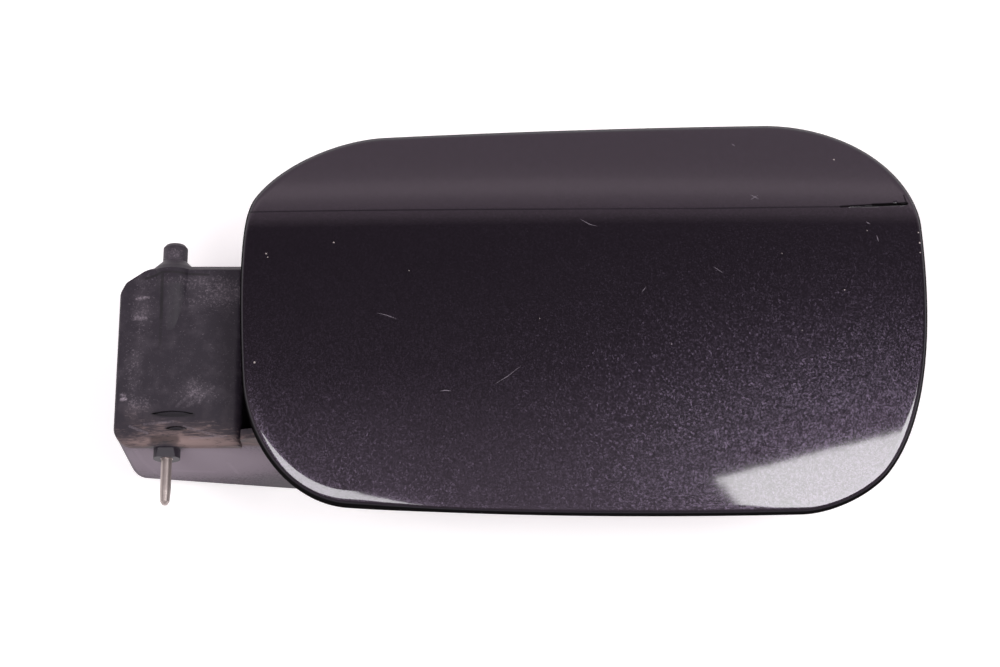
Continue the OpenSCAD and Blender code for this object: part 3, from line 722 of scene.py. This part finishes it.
    def drop_flange(self, bm, face, settings, edges, ring):
        """Takes the rolled edge down and in, straight to the flange's lip."""
        lean = settings.flange_lean
        left = settings.flange - settings.roll * (1 + math.sin(lean))
        reach = self.strips * self.strip + settings.roll * math.cos(lean) - left * math.tan(lean)
        edges, ring = self.next_ring(bm, edges, ring)
        for v, (foot, outward) in ring.items():
            spot = foot + outward * reach
            v.co = (*spot, face.height(*spot) - settings.flange)

    def line_wall(self, bm, settings):
        """Gives the skin its wall: a copy moved in along the normals, joined to it at the lip."""
        bmesh.ops.recalc_face_normals(bm, faces=bm.faces)
        bm.normal_update()
        inward = -settings.skin
        if max(bm.faces, key=lambda f: f.calc_center_median().z).normal.z < 0:
            inward = settings.skin
        offsets = [v.normal * inward for v in bm.verts]
        copy = bmesh.ops.duplicate(bm, geom=bm.verts[:] + bm.edges[:] + bm.faces[:])
        twin = copy["vert_map"]
        for v, offset in zip(list(bm.verts)[:len(offsets)], offsets):
            twin[v].co += offset
        rim = [e for e in bm.edges if e.is_boundary]
        bmesh.ops.bridge_loops(bm, edges=rim)
        bmesh.ops.recalc_face_normals(bm, faces=bm.faces)

    def add_towers(self, bm, face, settings):
        """Six screw towers between the skin and the carrier."""
        radius = 4 * MM
        bore = 1.5 * MM
        depth = 4.2 * MM
        for k in range(1, 7):
            screw_low, screw_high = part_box(f"panel_screw_{k}")
            spot = (screw_low + screw_high) / 2
            foot = spot.copy()
            foot.z = carrier_top()
            top = face.height(spot.x, spot.y)
            made = bmesh.ops.create_cone(
                bm, cap_ends=True, segments=32, radius1=radius, radius2=radius, depth=top - foot.z,
                matrix=Matrix.Translation((spot.x, spot.y, (top + foot.z) / 2)),
            )["verts"]
            for v in made:
                if v.co.z > foot.z + MM:
                    v.co.z = face.height(v.co.x, v.co.y) - settings.skin / 2
            bottom = next(f for f in {f for v in made for f in v.link_faces} if f.normal.z < -0.9)
            bmesh.ops.inset_individual(bm, faces=[bottom], thickness=radius - bore)
            deep = bmesh.ops.extrude_discrete_faces(bm, faces=[bottom])["faces"]
            bmesh.ops.translate(bm, verts=deep[0].verts, vec=(0, 0, depth))


def carrier_top():
    """Height of the carrier's plate, where the towers stand: a screw's seat plus the plate."""
    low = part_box("panel_screw_1")[0]
    head = 1.9 * MM
    plate = 2.2 * MM
    return low.z + head + plate


class FUELDOOR_OT_wear(bpy.types.Operator):
    """Lay the scratches and stone chips on the panel's face"""

    bl_idname = "fueldoor.wear"
    bl_label = "Scratches and chips"

    lift = 0.02 * MM
    thickness = 0.03 * MM
    step = 0.5 * MM

    def execute(self, context):
        face = Face(context.scene.fuel_door_panel)
        # Each scratch: its width and the points it runs through, in mm
        scratches = (
            (0.16, ((59.3, 34.9), (62, 34.2), (64.8, 33.1))),
            (0.2, ((76.8, 12.9), (78.2, 13.1), (79.8, 12.9))),
            (0.13, ((91.7, 14.8), (95.3, 17), (98.8, 19.8))),
            (0.15, ((115.3, 61.8), (118, 60.2), (120, 59.7))),
            (0.2, ((194.8, 61.5), (196, 60.8))),
            (0.2, ((197.6, 57.6), (198, 55.7))),
            (0.16, ((162.8, 69.9), (165.4, 68.3))),
            (0.16, ((163, 68.2), (165, 69.6))),
            (0.16, ((158.6, 87), (159.6, 86.2))),
            (0.12, ((152, 48), (154.5, 46.2))),
            (0.12, ((132, 40.5), (133.4, 42.2))),
        )
        # Each chip: its place and its radius, in mm
        chips = (
            (47.1, 55.4, 0.3), (28.3, 52.2, 0.28), (28.9, 51.3, 0.22), (25.8, 21.4, 0.35),
            (188.1, 41.6, 0.22), (187.2, 81.8, 0.3), (195, 59, 0.18), (209.2, 58.6, 0.25),
            (209.4, 55.5, 0.3), (209.6, 52.8, 0.25), (171, 52, 0.16), (140, 26, 0.16),
            (68, 47, 0.16), (104, 33, 0.14), (176, 30, 0.16),
        )
        bm = bmesh.new()
        for width, points in scratches:
            self.scratch(bm, face, [Vector(p) * MM for p in points], width * MM)
        bmesh.ops.solidify(bm, geom=bm.faces[:], thickness=self.thickness)
        finish_piece(bm, "scratches", scratched_lacquer())
        bm = bmesh.new()
        for x, y, radius in chips:
            self.chip(bm, face, Vector((x, y)) * MM, radius * MM)
        bmesh.ops.solidify(bm, geom=bm.faces[:], thickness=self.thickness)
        finish_piece(bm, "stone_chips", chipped_primer())
        return {"FINISHED"}

    def scratch(self, bm, face, points, width):
        """A hair-thin ribbon along a line on the face, pointed at both ends."""
        path = []
        for a, b in zip(points, points[1:]):
            n = max(2, round((b - a).length / self.step))
            path += [a.lerp(b, k / n) for k in range(n)]
        path.append(points[-1])
        edge = None
        for k, spot in enumerate(path):
            way = (path[min(k + 1, len(path) - 1)] - path[max(k - 1, 0)]).normalized()
            half = Vector((-way.y, way.x)) * width / 2 * (0.15 + math.sin(math.pi * k / (len(path) - 1)))
            ends = [spot + half, spot - half]
            if edge is None:
                verts = [bm.verts.new((0, 0, 0)) for _ in ends]
                edge = bm.edges.new(verts)
            else:
                made = bmesh.ops.extrude_edge_only(bm, edges=[edge])["geom"]
                edge = next(g for g in made if isinstance(g, bmesh.types.BMEdge) and g.is_boundary
                    and not any(v in verts for v in g.verts))
                verts = [next(v for v in edge.verts if any(e.other_vert(v) is old for e in v.link_edges))
                    for old in verts]
            for vert, end in zip(verts, ends):
                vert.co = (*end, face.height(*end) + self.lift)

    def chip(self, bm, face, spot, radius):
        """A small ragged flake on the face, never twice the same."""
        made = bmesh.ops.create_circle(bm, cap_ends=True, segments=9, radius=radius)["verts"]
        for k, vert in enumerate(made):
            reach = 0.75 + 0.45 * math.sin(7 * k + 9000 * (spot.x + spot.y))
            place = spot + vert.co.xy * reach
            vert.co = (*place, face.height(*place) + self.lift)


class FUELDOOR_OT_arm(bpy.types.Operator):
    """Finish the moulded hinge arm in dusty black nylon, with painted shade and painted light on it"""

    bl_idname = "fueldoor.arm"
    bl_label = "Hinge arm"

    def execute(self, context):
        s = context.scene.fuel_door_arm
        # Where dust lies thick, and where it is taken off: round the boss, which keeps it and the wall behind
        # it dark, and in the pockets as painted shade. The big patch on the front wall is dust laid thick as
        # painted light. Each: centre and reach in mm, and how much
        dust_and_painted_light_patches = (
            ((13, 47, 5), (14, 8, 9), 0.2),
            ((3, 51, 5), (19, 3, 9), 0.14),
            ((-8, 42, 5), (5, 13, 9), 0.16),
            ((-10, 24, 5), (4, 14, 9), 0.14),
            ((-9, 46, 5), (3, 1.6, 9), 0.14),
            ((-9.5, 40.5, 5), (2.5, 1.6, 9), 0.14),
            ((-12.4, 17, 5), (1.6, 1.3, 9), 0.3),
            ((-8, 13, 5), (7, 6, 9), 0.24),
            ((8, 18, 5), (9, 6, 9), 0.22),
            ((4, 6, 5), (22, 6, 9), 0.36),
            ((0, 60, 3), (6, 5, 6), 0.2),
            # Painted light as well as dust: the front wall lightened all over
            ((6, 3.3, -14), (60, 3.2, 40), 0.95),
            ((0, 1, 1), (7.5, 5, 9), -1.2),
            # Painted shade in the two pockets
            ((2, 11.9, 4), (8, 1.6, 9), -0.4),
            ((3, 7.6, 4), (4.6, 1.3, 9), -0.4),
        )
        # Painted shade, as dark lines: at the moulding's step, under its ledge below the stub, along its
        # pockets' rims and under the lip's edge over the boss
        lines = (
            ((-2.6, 52.4), (-2.6, 40), 0.7, 0.7),
            ((-2.6, 40), (-2.6, 32), 0.6, 0.4),
            ((-7.4, 51.7), (-2.9, 53.3), 0.5, 0.8),
            ((-2.9, 53.3), (10.3, 52.9), 0.5, 0.7),
            ((-3.4, 11.6), (7.4, 11.4), 1.1, 0.5),
            ((0.6, 7.3), (5.6, 7.3), 0.8, 0.5),
            ((-3, 4.2, 5.2), (2.8, 4.2, 5.2), 1.8, 0.6),
        )
        # Brush marks, fibres on the lip, scrapes on the deck and the front wall, and last a painted highlight
        # low along the front wall
        scuffs_and_highlight = (
            ((-9.6, 45.6), (-6.4, 46.1), 0.6, 0.35),
            ((-10, 39.6), (-7, 40), 0.6, 0.35),
            ((-12.6, 15.8), (-11.6, 16), 0.7, 0.9),
            ((3, 14), (8, 18.5), 0.7, 0.14),
            ((6, 14), (11, 18), 0.7, 0.12),
            ((9, 15), (13, 19.5), 0.7, 0.1),
            ((-10, 8), (-5, 6), 0.5, 0.25),
            ((5, 8), (14, 5.4), 0.5, 0.22),
            ((7, 4.5), (17, 5.2), 0.5, 0.22),
            ((-6, 8.6), (2, 9.4), 0.5, 0.2),
            ((-9.3, FRONT_WALL, -1), (-8.6, FRONT_WALL, -14), 0.9, 0.5),
            ((-8.6, FRONT_WALL, -14), (-6.5, FRONT_WALL, -27), 0.9, 0.5),
            ((15.5, FRONT_WALL, -16), (17, FRONT_WALL, -27), 0.8, 0.6),
            # Painted highlight low along the front wall
            ((-1, FRONT_WALL, -24), (10, FRONT_WALL, -25.5), 1.6, 0.5),
        )
        material = moulded_nylon("moulded_nylon", s.plastic, s.dust, s.mud, dust_and_painted_light_patches, lines, scuffs_and_highlight)
        paint_node("hinge_arm", material)
        return {"FINISHED"}


class FUELDOOR_OT_carrier(bpy.types.Operator):
    """Finish the ribbed carrier, the latch striker and the plug behind the spring"""

    bl_idname = "fueldoor.carrier"
    bl_label = "Carrier and striker"

    def execute(self, context):
        s = context.scene.fuel_door_arm
        material = moulded_nylon("moulded_polypropylene", linear("#252326")[:3], s.dust, s.mud)
        for name in ("inner_carrier", "latch_striker", "spring_plug"):
            paint_node(name, material)
        return {"FINISHED"}


class FUELDOOR_OT_pin(bpy.types.Operator):
    """Finish the sliding hinge pin and its spring"""

    bl_idname = "fueldoor.pin"
    bl_label = "Hinge pin and spring"

    def execute(self, context):
        paint_node("hinge_pin", turned_steel())
        paint_node("pin_spring", zinc_plate("spring_steel", "#6d6a69", "#a8a4a1"))
        return {"FINISHED"}


class FUELDOOR_OT_fasteners(bpy.types.Operator):
    """Finish the screws and the rubber buffers"""

    bl_idname = "fueldoor.fasteners"
    bl_label = "Screws and buffers"

    def execute(self, context):
        zinc = zinc_plate("zinc_plate", "#8f8e8a", "#c9c8c2")
        rubber = moulded_rubber()
        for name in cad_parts:
            if "_screw_" in name:
                paint_node(name, zinc)
            if name.startswith("buffer_"):
                paint_node(name, rubber)
        return {"FINISHED"}


class FUELDOOR_OT_stage(bpy.types.Operator):
    """Set up the floor, the ceiling, the softboxes, the world and the camera"""

    bl_idname = "fueldoor.stage"
    bl_label = "Studio"

    # The stage's sizes are in metres
    middle = (CAD_BOX[0] + CAD_BOX[1]) / 2
    floor_half = 4
    floor_drop = 0.3 * MM
    ceiling_half = 7
    ceiling_height = 3

    def execute(self, context):
        s = context.scene.fuel_door_stage
        level = CAD_BOX[0].z - self.floor_drop
        floor = self.flat_sheet("paper_floor", self.floor_half, level, self.white_paper())
        ceiling = self.flat_sheet("dim_ceiling", self.ceiling_half, self.ceiling_height, self.ceiling_glow())
        self.set_lamp("right_softbox", s.right_softbox, (0.484, -0.13, 0.9), (0.34, 0.34), 25)
        self.set_lamp("left_softbox", s.left_softbox, (-0.37, -0.4, 1.2), (0.57, 0.49), 0)
        self.set_world(context.scene)
        self.set_camera(context.scene, s)
        context.scene.view_settings.view_transform = "Standard"
        return {"FINISHED"}

    def flat_sheet(self, name, half_side, height, material):
        """A flat square of the stage, level and centred on the part's middle."""
        bm = bmesh.new()
        bmesh.ops.create_grid(bm, x_segments=1, y_segments=1, size=half_side)
        bmesh.ops.translate(bm, verts=bm.verts, vec=(self.middle.x, self.middle.y, height))
        mesh = bpy.data.meshes.new(name)
        bm.to_mesh(mesh)
        bm.free()
        mesh.materials.append(material)
        sheet = bpy.data.objects.new(name, mesh)
        bpy.context.scene.collection.objects.link(sheet)
        return sheet

    def white_paper(self):
        """Seamless white paper, matt. It looks white to the camera and in reflections, and keeps a shadow."""
        material = bpy.data.materials.new("white_paper")
        material.use_nodes = True
        tree = material.node_tree
        tree.nodes.clear()
        matt = add(tree, "ShaderNodeBsdfDiffuse", {"Color": linear("#e8e6e6")})
        glow = add(tree, "ShaderNodeEmission", {"Color": (1, 1, 1, 1), "Strength": 0.45})
        both = add(tree, "ShaderNodeAddShader", {0: matt.outputs[0], 1: glow.outputs[0]})
        mix = add(tree, "ShaderNodeMixShader", {
            0: self.seen_directly(tree), 1: matt.outputs[0], 2: both.outputs[0],
        })
        add(tree, "ShaderNodeOutputMaterial", {"Surface": mix.outputs[0]})
        return material

    def ceiling_glow(self):
        """The dim ceiling that the lacquer mirrors."""
        material = bpy.data.materials.new("dim_ceiling")
        material.use_nodes = True
        tree = material.node_tree
        tree.nodes.clear()
        place = add(tree, "ShaderNodeTexCoord").outputs["Object"]
        way = add(tree, "ShaderNodeVectorMath", {0: place, 1: tuple(self.middle)}, operation="SUBTRACT")
        glow = add(tree, "ShaderNodeEmission", {
            "Color": self.room_light(tree, way.outputs[0]), "Strength": ROOM_LIGHT,
        })
        add(tree, "ShaderNodeOutputMaterial", {"Surface": glow.outputs[0]})
        return material

    def set_lamp(self, name, radiance, spot, size, turn):
        """An area lamp that faces down, set by its radiance, place, size and turn in degrees."""
        data = bpy.data.lights.new(name, "AREA")
        data.shape = "RECTANGLE"
        data.size, data.size_y = size
        data.energy = radiance * math.pi * data.size * data.size_y
        lamp = bpy.data.objects.new(name, data)
        lamp.location = spot
        lamp.rotation_euler = (0, 0, math.radians(turn))
        bpy.context.scene.collection.objects.link(lamp)

    def room_light(self, tree, way):
        """The studio's light by direction: a dim ceiling that brightens to a white wall behind the part."""
        part = add(tree, "ShaderNodeSeparateXYZ", {"Vector": way})
        # Angle from straight up towards the back wall, from 0 at -90 degrees to 1 at +90
        back = add(tree, "ShaderNodeMath", {0: part.outputs["Y"], 1: part.outputs["Z"]}, operation="ARCTAN2")
        turn = add(tree, "ShaderNodeMapRange", {
            "Value": back.outputs[0], "From Min": -math.pi / 2, "From Max": math.pi / 2,
        })
        ramp = add(tree, "ShaderNodeValToRGB", {"Fac": turn.outputs["Result"]})
        stops = (
            (-90, 0.1), (-60, 0.16), (-30, 0.3), (-12, 0.3), (-5, 0.27), (0, 0.19), (6, 0.085),
            (17, 0.055), (22, 0.065), (28, 0.16), (38, 0.3), (45, 0.34), (46.6, 0.52), (48, 0.86),
            (49, 0.82), (50, 0.6), (52, 0.5), (55, 0.46), (90, 0.6),
        )
        self.set_ramp(ramp.color_ramp, stops)
        return ramp.outputs["Color"]

    def set_world(self, scene):
        """A white studio beyond the ceiling, seen by the camera and in reflections."""
        world = bpy.data.worlds.new("studio")
        scene.world = world
        world.use_nodes = True
        tree = world.node_tree
        tree.nodes.clear()
        way = add(tree, "ShaderNodeTexCoord").outputs["Generated"]
        light = self.room_light(tree, way)
        room = add(tree, "ShaderNodeBackground", {"Color": light, "Strength": ROOM_LIGHT})
        white = add(tree, "ShaderNodeBackground", {"Color": (1, 1, 1, 1), "Strength": 1.0})
        mix = add(tree, "ShaderNodeMixShader", {
            0: self.seen_directly(tree), 1: room.outputs[0], 2: white.outputs[0],
        })
        add(tree, "ShaderNodeOutputWorld", {"Surface": mix.outputs[0]})

    def seen_directly(self, tree):
        """1 where the camera sees a surface, by itself, in a reflection or through glass."""
        path = add(tree, "ShaderNodeLightPath")
        seen = add(tree, "ShaderNodeMath", {
            0: path.outputs["Is Camera Ray"], 1: path.outputs["Is Glossy Ray"],
        }, operation="MAXIMUM")
        seen = add(tree, "ShaderNodeMath", {0: seen.outputs[0], 1: path.outputs["Is Transmission Ray"]},
            operation="MAXIMUM")
        return seen.outputs[0]

    def set_ramp(self, ramp, stops):
        """Fills a ramp from pairs of an angle in degrees and a brightness."""
        while len(ramp.elements) < len(stops):
            ramp.elements.new(1)
        for element, (angle, light) in zip(ramp.elements, stops):
            element.position = (angle + 90) / 180
            element.color = [light * channel for channel in ROOM_CAST[:3]] + [1]

    def set_camera(self, scene, s):
        """The photograph's view: a 90 mm lens, steeply from above."""
        data = bpy.data.cameras.new("camera")
        data.lens = s.lens
        data.sensor_width = 36
        data.clip_start = 0.01
        data.clip_end = 100
        camera = bpy.data.objects.new("camera", data)
        scene.collection.objects.link(camera)
        target = Vector((s.look_x, s.look_y, 0))
        back = Vector((0, -math.cos(s.elevation), math.sin(s.elevation)))
        camera.location = target + back * s.distance
        camera.rotation_euler = (math.pi / 2 - s.elevation, 0, 0)
        scene.camera = camera


class FUELDOOR_PT_sidebar(bpy.types.Panel):
    """The fuel door's pieces and settings"""

    bl_idname = "FUELDOOR_PT_sidebar"
    bl_label = "Fuel door"
    bl_space_type = "VIEW_3D"
    bl_region_type = "UI"
    bl_category = "Fuel door"

    def draw(self, context):
        for operator in OPERATORS:
            self.layout.operator(operator.bl_idname)
        scene = context.scene
        for settings in (scene.fuel_door_panel, scene.fuel_door_arm, scene.fuel_door_stage):
            box = self.layout.box()
            for name in settings.bl_rna.properties.keys():
                if name not in ("rna_type", "name"):
                    box.prop(settings, name)


OPERATORS = (
    FUELDOOR_OT_stage, FUELDOOR_OT_panel, FUELDOOR_OT_wear, FUELDOOR_OT_arm, FUELDOOR_OT_carrier,
    FUELDOOR_OT_pin, FUELDOOR_OT_fasteners,
)
SETTINGS = (FuelDoorPanelSettings, FuelDoorArmSettings, FuelDoorStageSettings)


def register():
    for cls in (*SETTINGS, *OPERATORS, FUELDOOR_PT_sidebar):
        bpy.utils.register_class(cls)
    bpy.types.Scene.fuel_door_panel = bpy.props.PointerProperty(type=FuelDoorPanelSettings)
    bpy.types.Scene.fuel_door_arm = bpy.props.PointerProperty(type=FuelDoorArmSettings)
    bpy.types.Scene.fuel_door_stage = bpy.props.PointerProperty(type=FuelDoorStageSettings)


def unregister():
    del bpy.types.Scene.fuel_door_stage
    del bpy.types.Scene.fuel_door_arm
    del bpy.types.Scene.fuel_door_panel
    for cls in reversed((*SETTINGS, *OPERATORS, FUELDOOR_PT_sidebar)):
        bpy.utils.unregister_class(cls)


def main():
    register()
    bpy.ops.fueldoor.stage()
    bpy.ops.fueldoor.panel()
    bpy.ops.fueldoor.wear()
    bpy.ops.fueldoor.arm()
    bpy.ops.fueldoor.carrier()
    bpy.ops.fueldoor.pin()
    bpy.ops.fueldoor.fasteners()


if __name__ == "__main__":
    main()
